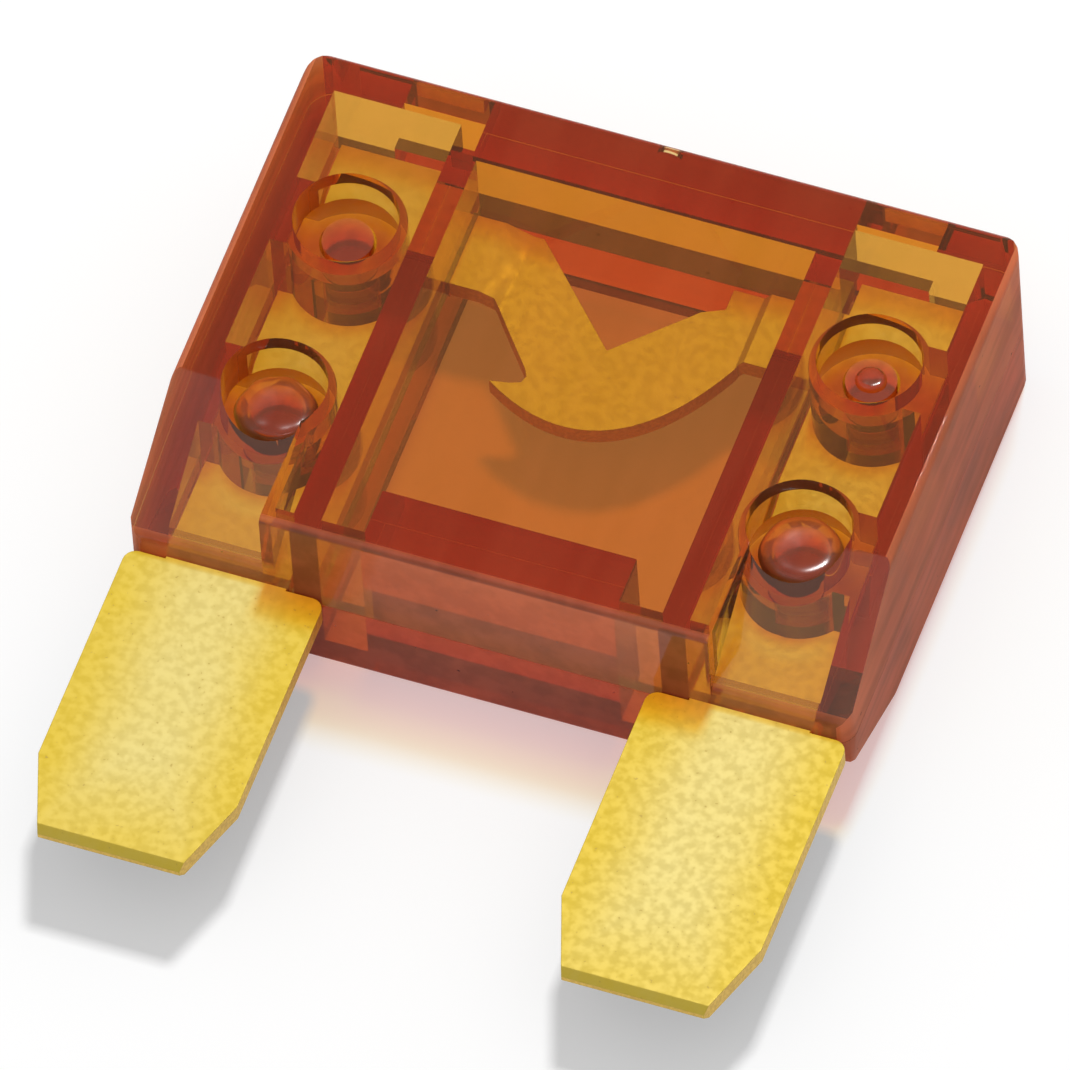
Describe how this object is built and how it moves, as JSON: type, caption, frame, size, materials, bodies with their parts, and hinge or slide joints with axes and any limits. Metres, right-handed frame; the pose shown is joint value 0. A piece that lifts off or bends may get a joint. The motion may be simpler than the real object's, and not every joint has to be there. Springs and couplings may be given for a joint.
{
  "type": "automotive blade fuse",
  "caption": "Large plug-in blade fuse: clear amber housing of two staked half shells around one stamped element with flat blades.",
  "frame": {"origin": "middle of the bounding box on the plane of the housing's back face, which the fuse lies on", "axes": "+Y from the blades towards the cap, +Z from the back face to the front face, +X across the blades to the right seen from the front with the cap up"},
  "size_m": [0.029, 0.0342, 0.0085],
  "materials": {
    "clear_amber": "clear amber, glossy, as moulded",
    "yellow_metal": "yellow, dull, lightly mottled, as stamped"
  },
  "bodies": {
    "root": {"front_shell": "clear_amber", "back_shell": "clear_amber", "fuse_element": "yellow_metal"}
  },
  "joints": []
}
